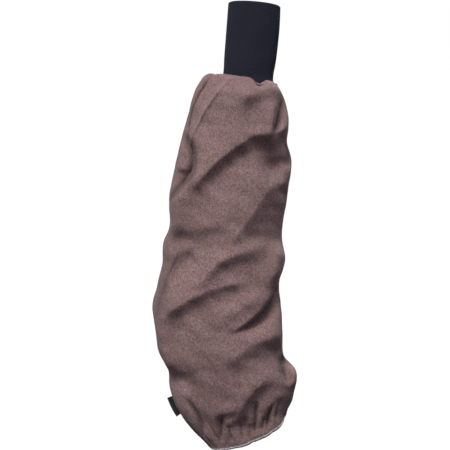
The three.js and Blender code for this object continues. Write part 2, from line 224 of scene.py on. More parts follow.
# %% The crease table, in millimetres
# from_x, from_z, to_x, to_z, bow, depth, width; a depth below zero is a thin ridge
FRONT_CREASES = [
    (-34, -60, -90, -150, -5, -4.5, 2.6),  # ridge down from the left hump
    (-104, -318, -142, -420, -7, 6.5, 9),  # left of the elbow
    (40, -362, -14.5, -434, 10, 7, 4.5),  # in the deep crease on the right
    (47, -84, 35, -138, 0, 6, 3.5),  # beside the right lobe
    (-58, -53, -94, -150, -10, 6, 3),  # beside the upper left strip
    (-94, -148, -92, -204, 6, 18, 4.5),  # beside the lower left strip
    (-89, -196, -124, -241, 1, 16, 4.5),  # its end at the outline
    (47, -474, 53, -511, -4, 12, 4.5),  # beside the right pouch
    (8.5, -548, 6, -588, 0, 8, 2.6),  # gathers over the hem
    (32, -550, 25, -580, -2, 9, 3.2),
    (20, -568, 17, -586, 0, 5, 2.6),
    (44, -540, 37, -568, 0, 3.5, 4),
    (-43.5, -564, -45.5, -600, 0, 6, 4),
    (-15, -579, -12, -600, 0, 5, 2.6),
    (-1, -580, -2, -598, 0, 5, 2.6),
    (-34, -580, -28, -602, 0, 5, 2.8),
    (-94.5, -541, -70.5, -588, 4, 8, 4),  # between the label and the hem
]
print(len(FRONT_CREASES), "creases in front")

# %% Places in the front view, and lines there
VIEW_X, VIEW_Z, VIEW_DISTANCE = -39.0, -277.5, 1030.0
FOLD_TAPER = 0.5


def front_view(point):
    """Where points show in the front view: drawn away from its middle by how much nearer they are."""
    nearer = VIEW_DISTANCE / (VIEW_DISTANCE + point[..., 1])
    return VIEW_X + (point[..., 0] - VIEW_X) * nearer, VIEW_Z + (point[..., 2] - VIEW_Z) * nearer


def smooth(value):
    """An ease from 0 to 1 with level ends: 3 x squared less 2 x cubed."""
    x = np.clip(value, 0, 1)
    return x * x * (3 - 2 * x)


def beside_line(x, z, from_x, from_z, to_x, to_z, bow):
    """Distance to the left of a bowed line in the front view, and a weight that runs out past its two ends:
    an ease that is half way at each end, and takes the share FOLD_TAPER of the line."""
    line_x, line_z = to_x - from_x, to_z - from_z
    length = np.hypot(line_x, line_z)
    share = ((x - from_x) * line_x + (z - from_z) * line_z) / length**2
    off = ((z - from_z) * line_x - (x - from_x) * line_z) / length - 4 * bow * share * (1 - share)
    return off, smooth(share / FOLD_TAPER + 0.5) * smooth((1 - share) / FOLD_TAPER + 0.5)


near_x, near_z = front_view(np.array([50.0, -60.0, -500.0]))
print("x 50, z -500, and 60 mm nearer shows at x %.1f, z %.1f" % (near_x, near_z))


# %% How folds and creases move the cloth
def bell(distance, width):
    """A bell curve: 1 at distance 0, falling away over width."""
    return np.exp(-((distance / width) ** 2))


def fold_lift(folds, x, z):
    """How far all the folds lift the cloth towards the viewer at points of the front view.

    Before its line the cloth rises as a bell to the ridge. Past it the lift falls from height plus depth, as
    a bell or, the crisper the fold, as an exponential, less a wide bell of depth, which leaves a valley."""
    lift = np.zeros_like(x)
    for from_x, from_z, to_x, to_z, bow, height, easy, steep, depth, fill, crisp in folds:
        off, ends = beside_line(x, z, from_x, from_z, to_x, to_z, bow)
        fall = np.exp(-((np.maximum(off, 0) / steep) ** crisp))
        valley = (height + depth) * fall - depth * bell(off, fill)
        lift += ends * np.where(off <= 0, height * bell(off, easy), valley)
    return lift


def crease_depth(creases, x, z):
    """How deep the cloth is pinched: depth at each line, falling off to both sides as an exponential of
    width."""
    total = np.zeros_like(x)
    for from_x, from_z, to_x, to_z, bow, depth, width in creases:
        off, ends = beside_line(x, z, from_x, from_z, to_x, to_z, bow)
        total += depth * ends * np.exp(-np.abs(off) / width)
    return total


print("lift on the upper bulge: %.1f mm" % fold_lift(FRONT_FOLDS, np.array([-40.0]), np.array([-160.0]))[0])

# %% [markdown]
# ## Painted shade along the folds
#
# The creases are darkened in the cloth's colour as painted shade, and the crisp ridges are made paler, partly
# as rubbed cloth and partly as a painted highlight. A Pointiness node could find ridges, but only in Cycles and
# only as sharp as the mesh. The tables know where each line runs, so the same lines give every point of the
# cloth a number, which its material reads later.

# %% Painted shade and rub, from -1 in a crease to 1 on a ridge
CREASE_DEPTH_FOR_FULL_SHADE = 8.0
RUB_AND_HIGHLIGHT_HEIGHT = 3.0
SOFTEST = 2.2
RUB_AND_HIGHLIGHT_BACK, RUB_AND_HIGHLIGHT_WIDTH = 1.5, 3.0


def fold_shade_and_rub(folds, creases, x, z):
    """Above 0 on the ridge of a fold, rubbed pale and painted as a highlight: a narrow bell a little before its
    line, stronger for a crisper fold and only for one that is higher than the set ridge height. Below 0 in a
    crease, by its depth, as painted shade."""
    shade_and_rub = -crease_depth(creases, x, z) / CREASE_DEPTH_FOR_FULL_SHADE
    for from_x, from_z, to_x, to_z, bow, height, easy, steep, depth, fill, crisp in folds:
        off, ends = beside_line(x, z, from_x, from_z, to_x, to_z, bow)
        rub_and_highlight = (SOFTEST - crisp) * smooth(height / RUB_AND_HIGHLIGHT_HEIGHT - 1)
        shade_and_rub += rub_and_highlight * ends * bell(off + RUB_AND_HIGHLIGHT_BACK, RUB_AND_HIGHLIGHT_WIDTH)
    return np.clip(shade_and_rub, -1, 1)


# The painted shade in the crease beside the pouch.
pouch_shade = fold_shade_and_rub(FRONT_FOLDS, FRONT_CREASES, np.array([50.0]), np.array([-492.0]))
print("wear in the crease beside the pouch: %.2f" % pouch_shade[0])

# %% [markdown]
# ## Pleats, gathers and small slack
#
# Where the wide cloth is sewn on to the narrow cuff it is laid in a few deep pleats. At the hem an elastic
# draws it into many small gathers of uneven depth. Everywhere between, heavy cloth keeps a little slack that
# never lies quite flat. A noise texture could shake the surface, but gathers and slack have a direction, so
# waves that are bent by other waves follow it better.

# %% Pleats below the cuff
PLEAT_REACH = 2.2
PLEATS = table("turn depth width", [
    (-52, 2.5, 5),
    (28, 10, 9),
    (84, 2.5, 14),
    (128, 6, 13),
    (176, 6, 14),
    (-142, 6, 13),
    (-101, 5, 11),
])


def cuff_pleats(row, turn):
    """How far the pleats draw the cloth in: a bell round each pleat's angle, from the seam to below the
    crest of the roll."""
    reach = smooth(row) * (1 - smooth((row - ROLL_CREST) / PLEAT_REACH))
    away = np.degrees(turn)[..., None] - PLEATS["turn"]
    nearest = away - 360 * np.round(away / 360)
    return reach * np.sum(PLEATS["depth"] * bell(nearest, PLEATS["width"]), -1)


print(len(PLEATS["turn"]), "pleats, up to %.0f mm deep" % PLEATS["depth"].max())

# %% Gathers above the hem
GATHERS = 25
GATHER_DEPTH = 5.0
GATHER_SWAY = 0.17  # radians for each row
HEM_FLATTENS, HEM_HOLDS_ROWS = 0.7, 0.5
GATHER_SIDE_FADE = 0.6
START_ROW, START_WAVES = 16.2, [(0.4, 5, 1.0), (0.3, 11, 0.0)]
WANDER_WAVES = [(1.3, 3, 0.6), (0.8, 8, 2.0)]
UNEVEN, UNEVEN_WAVES = 0.6, [(0.35, 6, 0.8), (0.3, 10, 3.0)]


def waves(angle, parts):
    """A sum of sine waves round the arm. Each part has a height, a count of waves and a phase."""
    return sum(height * np.sin(count * angle + phase) for height, count, phase in parts)


def hem_gathers(row, turn):
    """How far the gathers draw the cloth in: sharp valleys between round ridges, a rectified wave round the
    hem whose pitch, depth and start wander, and which sways to one side up the cloth. It is flattened near
    the last row, where the hem holds the cloth, and at the two sides."""
    swayed = turn - GATHER_SWAY * (LAST - row)
    start = START_ROW + waves(swayed, START_WAVES)
    grown = smooth((row - start) / (LAST - start))
    held = 1 - HEM_FLATTENS * smooth((row - LAST) / HEM_HOLDS_ROWS + 1)
    facing = smooth(np.abs(np.cos(turn)) / GATHER_SIDE_FADE)
    uneven = np.clip(UNEVEN + waves(swayed, UNEVEN_WAVES), 0.1, 1.2)
    phase = (GATHERS * swayed + waves(swayed, WANDER_WAVES)) / 2
    valley = (1 - np.abs(np.sin(phase))) ** 1.3
    return GATHER_DEPTH * grown**1.5 * held * facing * uneven * valley


all_round = np.linspace(0, 2 * np.pi, 720)
deepest = hem_gathers(np.full_like(all_round, LAST - HEM_HOLDS_ROWS), all_round).max()
print(GATHERS, "gathers, up to %.1f mm deep above the hem" % deepest)

# %% Slack
SLACK = table("length slant height bend", [
    (47, -34, 0.7, 1.1),
    (31, -58, 0.5, 0.9),
    (22, -22, 0.28, 1.3),
    (15, -70, 0.16, 1.2),
])
SLACK_BENDS = 2.7


def slack(x, z):
    """Small slanting waves, each bent by one across it that is SLACK_BENDS times as long."""
    total = np.zeros_like(x)
    for length, slant, height, bend in zip(*SLACK.values()):
        c, s = np.cos(np.radians(slant)), np.sin(np.radians(slant))
        along, across = x * c + z * s, z * c - x * s
        phase = 2 * np.pi * across / length
        bent = bend * np.sin(2 * np.pi * along / (SLACK_BENDS * length) + slant)
        total += height * np.sin(phase + bent)
    return total


print("slack of up to %.1f mm" % SLACK["height"].sum())

# %% [markdown]
# ## The body cloth
#
# The body is one sheet of cloth sewn into a tube at the side seam. Sculpting could shape it, but a change
# would mean sculpting it again. So the folds, pleats and gathers move the plain tube by their formulas, and
# the folds and gathers run out at the two sides of the outline. A grid of the two parameters becomes the
# mesh, with the seam at its first column, so that its UV map is the flat cloth in metres. Solidify then gives
# the sheet its thickness inwards.

# %% The cloth as a function of row and turn
SEAM = -np.pi / 2  # the turn at the left side
GROOVE_DEPTH, GROOVE_DEGREES = 0.9, 2.2
BACK_SLACK_SHIFT = 300.0
SIDE_SLACK = 0.25
SIDE_FADE, ROLL_FADE = 0.4, 1.2


def body_cloth(row, turn):
    """The plain tube, moved in along its normal by pleats, gathers and the seam's groove, moved out or in by
    the slack, and moved along Y by the folds, which begin below the roll and run out at the sides."""
    point = tube(BODY, row, turn)
    normal = tube_normal(BODY, row, turn)
    x, z = front_view(point)
    ahead = np.cos(turn) > 0
    front = crease_depth(FRONT_CREASES, x, z) - fold_lift(FRONT_FOLDS, x, z)
    folds = np.where(ahead, front, fold_lift(BACK_FOLDS, x, z))
    facing = np.abs(np.cos(turn))
    from_seam = np.degrees(turn - SEAM + np.pi) % 360 - 180
    groove = GROOVE_DEPTH * bell(from_seam, GROOVE_DEGREES) * smooth(row / 2)
    drawn = cuff_pleats(row, turn) + hem_gathers(row, turn) + groove
    small = smooth((row - 1) / 2) * slack(x + BACK_SLACK_SHIFT * (1 - ahead), z)
    moved = point + normal * (small * (SIDE_SLACK + (1 - SIDE_SLACK) * facing) - drawn)[..., None]
    moved[..., 1] += smooth(facing / SIDE_FADE) * smooth((row - ROLL_CREST) / ROLL_FADE) * folds
    return moved


print("elbow front, folded:", body_cloth(np.array([ELBOW]), np.array([0.0]))[0].round(1).tolist())


# %% A grid of points becomes a mesh
def grid_piece(name, points, u, v, rows_close=False, columns_close=True):
    """An object from a grid of points in mm: one quad per cell, facing out where rows run down and columns
    run to the right, with a UV map in metres from a u for each column and a v for each row.

    Blender cuts a quad from its first corner to its third, so each quad starts where that cut is the shorter
    one, which keeps slanting folds clean. The first and last row are sharp edges unless the rows close."""
    rows, columns = points.shape[:2]
    i, j = np.meshgrid(
        np.arange(rows if rows_close else rows - 1),
        np.arange(columns if columns_close else columns - 1),
        indexing="ij",
    )
    here, below, beside = i * columns, (i + 1) % rows * columns, (j + 1) % columns
    quads = np.stack([here + j, below + j, below + beside, here + beside], -1)
    across = np.stack([u[j], u[j], u[j + 1], u[j + 1]], -1)
    along = np.stack([v[i], v[i + 1], v[i + 1], v[i]], -1)
    vertices = points.reshape(-1, 3)
    first, second, third, fourth = np.moveaxis(vertices[quads], 2, 0)
    turned = np.linalg.norm(third - first, axis=-1) > np.linalg.norm(fourth - second, axis=-1)

    def start_at_shorter(four):
        return np.where(turned[..., None], np.roll(four, -1, -1), four)

    quads, across, along = start_at_shorter(quads), start_at_shorter(across), start_at_shorter(along)
    mesh = bpy.data.meshes.new(name)
    mesh.from_pydata((vertices * MM).tolist(), [], quads.reshape(-1, 4).tolist())
    corners = np.stack([across, along], -1) * MM
    mesh.uv_layers.new(name="flat").data.foreach_set("uv", corners.ravel().astype(np.float32))
    mesh.polygons.foreach_set("use_smooth", np.ones(len(mesh.polygons), bool))
    mesh.update()
    if not rows_close:
        edge_ends = np.empty(2 * len(mesh.edges), np.int32)
        mesh.edges.foreach_get("vertices", edge_ends)
        edge_row = edge_ends.reshape(-1, 2) // columns
        rim = (edge_row[:, 0] == edge_row[:, 1]) & np.isin(edge_row[:, 0], (0, rows - 1))
        mesh.edges.foreach_set("use_edge_sharp", rim)
    piece = bpy.data.objects.new(name, mesh)
    bpy.context.scene.collection.objects.link(piece)
    return piece


# %% The body piece, with more columns in front, where the folds are sharper
FRONT_COLUMNS, BACK_COLUMNS, BODY_ROWS = 144, 82, 212
CLOTH_WIDTH = 500.0
CLOTH_THICKNESS = 0.9


def even_rows(count):
    """Rows at even steps of length down the tube, measured as a mean round it."""
    row, turn = np.meshgrid(np.linspace(0, LAST, 600), np.linspace(0, 2 * np.pi, 12), indexing="ij")
    steps = np.linalg.norm(np.diff(tube(BODY, row, turn), axis=0), axis=-1).mean(1)
    length = np.concatenate([[0], np.cumsum(steps)])
    places = np.linspace(0, length[-1], count)
    return np.interp(places, length, row[:, 0]), places


front_turns = np.arange(FRONT_COLUMNS) / FRONT_COLUMNS - 0.5
back_turns = np.arange(BACK_COLUMNS) / BACK_COLUMNS + 0.5
body_turns = np.pi * np.concatenate([front_turns, back_turns])
body_rows, cloth_lengths = even_rows(BODY_ROWS)
body_points = body_cloth(*np.meshgrid(body_rows, body_turns, indexing="ij"))
cloth_widths = CLOTH_WIDTH * np.append((body_turns - SEAM) / (2 * np.pi), 1)
body = grid_piece("body_cloth", body_points, cloth_widths, cloth_lengths)
shown_x, shown_z = front_view(body_points)
# Painted shade in the creases and paler ridges, partly rubbed and partly a painted highlight, for each point of
# the front; the back gets none.
front_shade_and_rub = fold_shade_and_rub(FRONT_FOLDS, FRONT_CREASES, shown_x, shown_z)
body_shade_and_rub = np.where(body_points[..., 1] < 0, front_shade_and_rub, 0).ravel().astype(np.float32)
body.data.attributes.new("shade_and_rub", "FLOAT", "POINT").data.foreach_set("value", body_shade_and_rub)
wall = body.modifiers.new("cloth thickness", "SOLIDIFY")
wall.thickness = CLOTH_THICKNESS * MM
wall.offset = -1
print("body cloth: %d quads, %.0f mm from seam to hem" % (len(body.data.polygons), cloth_lengths[-1]))

# %% [markdown]
# ## The knit cuff
#
# The cuff is a double layer of fine rib knit, folded at its top edge. The ribs stand up by a fraction of a
# millimetre and run along the arm. A bump map could fake them, but real ribs catch the light at the outline
# too, so they are part of the surface. One closed profile goes down the outside, round the lower edge, up the
# inside and over the folded top.

# %% The cuff as a function of row, share of the wall and turn
RIBS = 104
RIB_HEIGHT = 0.12
KNIT = 2.2
CUFF_TOP, CUFF_FOOT, CUFF_ROWS = 0.02, 3.98, 4
TOP_ROUND, FOOT_ROUND = 0.02, 0.03
RIB_FADE = 0.06


def cuff_rows():
    """Row, and how far in the point lies as a share of the wall, round the cuff's closed profile."""
    down = np.linspace(CUFF_TOP, CUFF_FOOT, 44)
    up = np.linspace(CUFF_FOOT, CUFF_TOP, 16)
    turned = np.linspace(0, np.pi, 7)[1:-1]
    foot = CUFF_FOOT + FOOT_ROUND * np.sin(turned)
    top = CUFF_TOP - TOP_ROUND * np.sin(turned)
    inward = (1 - np.cos(turned)) / 2
    row = np.concatenate([down, foot, up, top])
    share = np.concatenate([0 * down, inward, 0 * up + 1, 1 - inward])
    return row, share


def cuff_knit(row, share, turn):
    """The cuff's tube moved in by share of its wall, with ribs on the outside that level out at its edges."""
    level = smooth(row / RIB_FADE) * smooth((CUFF_ROWS - row) / RIB_FADE)
    ribs = RIB_HEIGHT * np.cos(RIBS * turn) * (1 - share) * level
    return tube(CUFF, row, turn) + tube_normal(CUFF, row, turn) * (ribs - KNIT * share)[..., None]


print("cuff profile:", len(cuff_rows()[0]), "points round the wall")

# %% The cuff piece
CUFF_GIRTH = 205.0


def lengths_round(path):
    """The length from the first point of a closed path to each of its points, and once round."""
    steps = np.linalg.norm(np.diff(path, axis=0, append=path[:1]), axis=-1)
    return np.concatenate([[0], np.cumsum(steps)])


CUFF_COLUMNS = RIBS * 6
cuff_turns = SEAM + 2 * np.pi * np.arange(CUFF_COLUMNS) / CUFF_COLUMNS
profile_row, profile_share = cuff_rows()
row_grid, turn_grid = np.meshgrid(profile_row, cuff_turns, indexing="ij")
share_grid = np.broadcast_to(profile_share[:, None], row_grid.shape)
cuff_points = cuff_knit(row_grid, share_grid, turn_grid)
cuff_widths = np.linspace(0, CUFF_GIRTH, CUFF_COLUMNS + 1)
cuff = grid_piece("cuff_knit", cuff_points, cuff_widths, lengths_round(cuff_points[:, 0]), rows_close=True)
print("cuff: %d quads, %d ribs" % (len(cuff.data.polygons), RIBS))

# %% [markdown]
# ## The hem
#
# The lower edge of the cloth is turned up round a narrow elastic. A torus could stand for it, but it is a
# soft flat band that follows the gathered edge of the body. So its profile, of even thickness and round at
# the lower edge, is carried along that edge. Fine puckers run across it, where the elastic has shrunk the
# cloth between two lines of stitching.

# %% The hem as a function of turn and the way round its profile
HEM_GAP, HEM_HEIGHT, HEM_HALF = 0.02, 9.0, 1.5
HEM_LEAN = np.array([1, 0.9, 1])
PUCKERS, PUCKER_HEIGHT = 74, 0.2


def hem_place(turn, down, out):
    """A point of the hem: down from the body's edge, the way the cloth runs there, and out from the arm."""
    last = np.full_like(turn, LAST)
    along = unit((tube(BODY, last, turn) - tube(BODY, last - 0.4, turn)) * HEM_LEAN)
    normal = tube_normal(BODY, last, turn)
    return body_cloth(last, turn) + along * down[..., None] + normal * (out - HEM_HALF)[..., None]


def hem_half(down):
    """Half the hem's thickness at a depth below the body's edge: even, then round at the lower edge."""
    share = np.clip(2 * (down - HEM_GAP) / HEM_HEIGHT - 1, 0, 1)
    return HEM_HALF * np.sqrt(1 - share**6)


def hem_band(turn, around):
    """The hem's closed profile, from its top down the outside and up the inside, with puckers outside."""
    down = HEM_GAP + HEM_HEIGHT * (1 - np.cos(around)) / 2
    outside = np.sin(around) >= 0
    waist = smooth(np.abs(np.sin(around)) / 0.5)
    pucker = PUCKER_HEIGHT * waist * np.sin(PUCKERS * turn + 1.5 * np.sin(9 * turn)) * outside
    return hem_place(turn, down, np.where(outside, 1, -1) * hem_half(down) + pucker)


lowest_front = hem_band(np.array([0.0]), np.array([np.pi]))[0]
print("hem's lower edge in front:", lowest_front.round(1).tolist())

# %% The hem piece
HEM_GIRTH, HEM_ROUND = 380.0, 21.0
HEM_COLUMNS, HEM_ROWS = 448, 26
hem_turns = SEAM + 2 * np.pi * np.arange(HEM_COLUMNS) / HEM_COLUMNS
around_grid, turn_grid = np.meshgrid(2 * np.pi * np.arange(HEM_ROWS) / HEM_ROWS, hem_turns, indexing="ij")
hem_points = hem_band(turn_grid, around_grid)
hem_widths = np.linspace(0, HEM_GIRTH, HEM_COLUMNS + 1)
hem = grid_piece("hem_band", hem_points, hem_widths, np.linspace(0, HEM_ROUND, HEM_ROWS + 1), rows_close=True)
print("hem: %.0f mm round at its lower edge" % lengths_round(hem_points[HEM_ROWS // 2])[-1])

# %% [markdown]
# ## The sewing threads
#
# A pale overlock binds the hem's edge: its thread zigzags along the lower edge, and a needle thread in the
# colour of the cloth runs above it. A row of plain stitches, in that colour too, holds the top of the
# elastic. A bump map could draw them, but they stand up from the cloth. So each thread is a thin tube carried
# along its own path, and the running stitch dives under the cloth between two stitches.

# %% A thread as a thin tube
def thread(path, outward, radius, sides=6):
    """A closed tube: round each point of the path, a ring in the plane across it."""
    ahead = unit(np.roll(path, -1, 0) - np.roll(path, 1, 0))
    side = unit(np.cross(ahead, outward))
    up = np.cross(side, ahead)
    angle = 2 * np.pi * np.arange(sides) / sides
    ring = np.cos(angle)[None, :, None] * side[:, None] + np.sin(angle)[None, :, None] * up[:, None]
    return path[:, None] + radius * ring


def thread_piece(name, turn, down, rise, radius):
    """A thread on the hem's outside, from its depth below the body's edge and its rise over the cloth at each
    turn."""
    path = hem_place(turn, down, hem_half(down) + rise)
    outward = tube_normal(BODY, np.full_like(turn, LAST), turn)
    points = thread(path, outward, radius)
    girths = np.linspace(0, 6 * radius, points.shape[1] + 1)
    lengths = lengths_round(path)
    print(name, "is %.0f mm long" % lengths[-1])
    return grid_piece(name, points, girths, lengths, rows_close=True)


# %% The three threads
OVERLOCK_STITCHES, OVERLOCK_POINTS = 170, 10
RUNNING_STITCHES, RUNNING_POINTS = 70, 12
ZIGZAG_DOWN, ZIGZAG_SWING, ZIGZAG_RISE, ZIGZAG_RADIUS = 5.5, 0.9, 0.25, 0.42
NEEDLE_DOWN, NEEDLE_SWING, NEEDLE_RISE, NEEDLE_RADIUS = 3.5, 0.12, 0.18, 0.26
RUNNING_DOWN, RUNNING_DIVE, RUNNING_RADIUS = 1.0, 0.42, 0.26


def stitch_turns(stitches, points):
    """Even turns round the hem from the seam, with so many points to each stitch."""
    return SEAM + 2 * np.pi * np.arange(stitches * points) / (stitches * points)


stitch_turn = stitch_turns(OVERLOCK_STITCHES, OVERLOCK_POINTS)
stitch_phase = OVERLOCK_STITCHES * (stitch_turn - SEAM)
zigzag = np.arcsin(0.96 * np.sin(stitch_phase)) / (np.pi / 2)
zigzag_down = ZIGZAG_DOWN + ZIGZAG_SWING * zigzag
zigzag_rise = np.full_like(stitch_turn, ZIGZAG_RISE)
overlock = thread_piece("overlock_zigzag", stitch_turn, zigzag_down, zigzag_rise, ZIGZAG_RADIUS)
needle_down = NEEDLE_DOWN + NEEDLE_SWING * np.sin(2 * stitch_phase)
needle_rise = NEEDLE_RISE + NEEDLE_SWING * np.cos(stitch_phase)
needle = thread_piece("overlock_needle", stitch_turn, needle_down, needle_rise, NEEDLE_RADIUS)
running_turn = stitch_turns(RUNNING_STITCHES, RUNNING_POINTS)
running_down = np.full_like(running_turn, RUNNING_DOWN)
running_rise = RUNNING_DIVE * np.sin(RUNNING_STITCHES * running_turn)
running = thread_piece("running_stitch", running_turn, running_down, running_rise, RUNNING_RADIUS)
print("threads:", [len(p.data.polygons) for p in (overlock, needle, running)], "quads")

# %% [markdown]
# ## The label
#
# A short black ribbon is folded double and caught in the side seam near the hem. A flat box would look like
# cardboard, so the ribbon is a real hairpin: out from the seam, round a tight bend and back, with a little
# curl, carried along the seam.

# %% The label piece
LABEL_ROW, LABEL_LENGTH, LABEL_REACH, LABEL_GAP = 16.67, 29.0, 10.5, 0.5
LABEL_BLUNT, LABEL_CURL = 0.3, 1.3
LABEL_CLEAR, LABEL_STEP = 0.2, 0.2
RIBBON_ROUND, RIBBON_THICKNESS = 18.0, 0.4


def label_ribbon(along, bend):
    """A hairpin of ribbon: reach times a blunt sine outwards, the gap times a cosine sideways, and some curl.
    along runs from -0.5 to 0.5 down the seam, and bend from 0 to pi round the hairpin."""
    seam = np.full_like(along, SEAM)
    ends = body_cloth(np.array([LABEL_ROW - LABEL_STEP, LABEL_ROW + LABEL_STEP]), np.array([SEAM, SEAM]))
    rows_per_mm = 2 * LABEL_STEP / np.linalg.norm(ends[1] - ends[0])
    row = LABEL_ROW + along * LABEL_LENGTH * rows_per_mm
    outward = tube_normal(BODY, row, seam) * np.array([1, 0, 1])
    reach = LABEL_REACH * np.sin(bend) ** LABEL_BLUNT
    curl = LABEL_CURL * (reach / LABEL_REACH) ** 2 * np.sin(2.4 * along + 0.5)
    sideways = np.zeros(along.shape + (3,))
    sideways[..., 1] = -LABEL_GAP * np.cos(bend) - curl
    return body_cloth(row, seam) + unit(outward) * (reach + LABEL_CLEAR)[..., None] + sideways


LABEL_ROWS, LABEL_BENDS = 24, 33
bends = np.linspace(0, np.pi, LABEL_BENDS)
along_grid, bend_grid = np.meshgrid(np.linspace(-0.5, 0.5, LABEL_ROWS), bends, indexing="ij")
label = grid_piece(
    "label_ribbon",
    label_ribbon(along_grid, bend_grid),
    np.linspace(0, RIBBON_ROUND, LABEL_BENDS),
    np.linspace(0, LABEL_LENGTH, LABEL_ROWS),
    columns_close=False,
)
ribbon = label.modifiers.new("ribbon thickness", "SOLIDIFY")
ribbon.thickness = RIBBON_THICKNESS * MM
ribbon.offset = -1
print("label: %d quads" % len(label.data.polygons))

# %% [markdown]
# ## Painting with expressions
#
# A shader is a small calculation for each point of a surface. Wiring it by hand hides the sums, so one class
# wraps a socket and turns each operator into a Math node. Any other node comes from one method, which sets
# the node's own settings first and then its sockets.

# %% The wire
class Wire:
    """An output socket that can be used in sums. Each operator adds one Math node to its finish."""

    def __init__(self, finish, socket):
        self.finish = finish
        self.socket = socket

    def maths(self, operation, *values):
        sockets = dict(enumerate(values))
        return self.finish.node("ShaderNodeMath", {"operation": operation}, sockets)

    def __add__(self, other):
        return self.maths("ADD", self, other)

    def __sub__(self, other):
        return self.maths("SUBTRACT", self, other)

    def __mul__(self, other):
        return self.maths("MULTIPLY", self, other)

    def __truediv__(self, other):
        return self.maths("DIVIDE", self, other)

    def __radd__(self, other):
        return self.maths("ADD", other, self)

    def __rsub__(self, other):
        return self.maths("SUBTRACT", other, self)

    def __rmul__(self, other):
        return self.maths("MULTIPLY", other, self)

    def wave(self):
        return self.maths("SINE", self)

    def floor(self):
        return self.maths("FLOOR", self)

    def arch(self):
        """0 at whole numbers, 1 half way between them: 4 f (1 - f) of the fraction f."""
        part = self.maths("FRACT", self)
        return 4 * part * (1 - part)

    def ease(self, low, high):
        """0 below low, 1 above high, and smooth between."""
        sockets = {"Value": self, "From Min": low, "From Max": high}
        return self.finish.node("ShaderNodeMapRange", {"interpolation_type": "SMOOTHSTEP"}, sockets)


# %% The finish
class Finish:
    """A material with one Principled shader, and the means to add nodes to it."""

    def __init__(self, name, **constants):
        self.material = bpy.data.materials.new(name)
        self.material.use_nodes = True
        self.tree = self.material.node_tree
        self.shader = self.tree.nodes["Principled BSDF"]
        for socket, value in constants.items():
            self.shader.inputs[socket.replace("_", " ")].default_value = value

    def put(self, socket, value):
        """Link a wire to a socket, or set the socket to a number or colour."""
        if isinstance(value, Wire):
            self.tree.links.new(value.socket, socket)
        else:
            socket.default_value = value

    def node(self, kind, settings=None, sockets=None, output=0):
        """A new node of a kind, with its settings and then its sockets set, as a wire from one output."""
        node = self.tree.nodes.new(kind)
        for name, value in (settings or {}).items():
            setattr(node, name, value)
        for name, value in (sockets or {}).items():
            self.put(node.inputs[name], value)
        return Wire(self, node.outputs[output])

    def flat(self):
        """The place on the flat cloth in millimetres: across and along."""
        place = self.node("ShaderNodeUVMap", {"uv_map": "flat"})
        scaled = self.node("ShaderNodeVectorMath", {"operation": "SCALE"}, {0: place, "Scale": 1 / MM})
        across = self.node("ShaderNodeSeparateXYZ", None, {0: scaled})
        return across, Wire(self, across.socket.node.outputs[1])

    def place(self, x, y, z=0.0):
        return self.node("ShaderNodeCombineXYZ", None, {0: x, 1: y, 2: z})

    def noise(self, place, detail=2.0, roughness=0.5):
        sockets = {"Vector": place, "Scale": 1.0, "Detail": detail, "Roughness": roughness}
        return self.node("ShaderNodeTexNoise", None, sockets)

    def cell_noise(self, x, y):
        """A random number for each pair of whole numbers."""
        settings = {"noise_dimensions": "2D"}
        return self.node("ShaderNodeTexWhiteNoise", settings, {"Vector": self.place(x, y)})

    def scale(self, colour, factor):
        """A colour made darker or lighter."""
        return self.node("ShaderNodeVectorMath", {"operation": "SCALE"}, {0: colour, "Scale": factor})

    def mix(self, factor, first, second):
        """A colour between two others."""
        sockets = {0: factor, 6: first, 7: second}
        return self.node("ShaderNodeMix", {"data_type": "RGBA"}, sockets, output=2)

    def bump(self, height, distance, strength=1.0):
        sockets = {"Height": height, "Distance": distance * MM, "Strength": strength}
        return self.node("ShaderNodeBump", None, sockets)

    def cover(self, piece, **inputs):
        """Set the shader's inputs, and give the material to a piece."""
        for socket, value in inputs.items():
            self.put(self.shader.inputs[socket.replace("_", " ")], value)
        piece.data.materials.clear()
        piece.data.materials.append(self.material)
        print(piece.name, "has", len(self.tree.nodes), "nodes")


# %% [markdown]
# ## Brown twill
#
# The cloth is worn twill of a mixed yarn. In a twill each yarn floats over a few others and then dives
# under, and the floats step sideways into fine diagonal lines, the wales. An image could be laid over the
# cloth, but the weave is a rule: the place on the flat cloth is turned to the slant of the wales and cut into
# floats, and a random number for each float makes its yarn dark, middling or pale, and the grooves between
# the floats are darkened as painted shade. A noise blends mauve and sandy fibres, another streaks them, and a
# slow one fades the cloth in patches, as washing does. Along the folds the creases are darkened as painted
# shade, and the crisp ridges are lightened, partly as rubbed cloth and partly as a painted highlight.

# %% The cloth finish
TWILL_SLANT = np.radians(58)
WALE, FLOAT, FLOAT_STEP = 0.9, 1.6, 0.37
BLEND_LENGTH, BLEND_WIDTH, BLEND_SHIFT = 2.2, 1.4, 40
STREAK_LENGTH, STREAK_WIDTH = 4.4, 1.7
PATCH_WIDTH, PATCH_LENGTH = 55, 75
# How much paler the ridges are, partly rubbed and partly a painted highlight, and how much darker the creases
# are, as painted shade.
RIDGE_RUB_AND_HIGHLIGHT, CREASE_PAINTED_SHADE = 0.16, 0.5
MAUVE = (0.208, 0.118, 0.130, 1)
SAND = (0.212, 0.146, 0.125, 1)
SHADOW_YARN = (0.138, 0.076, 0.088, 1)
PALE_YARN = (0.288, 0.194, 0.182, 1)


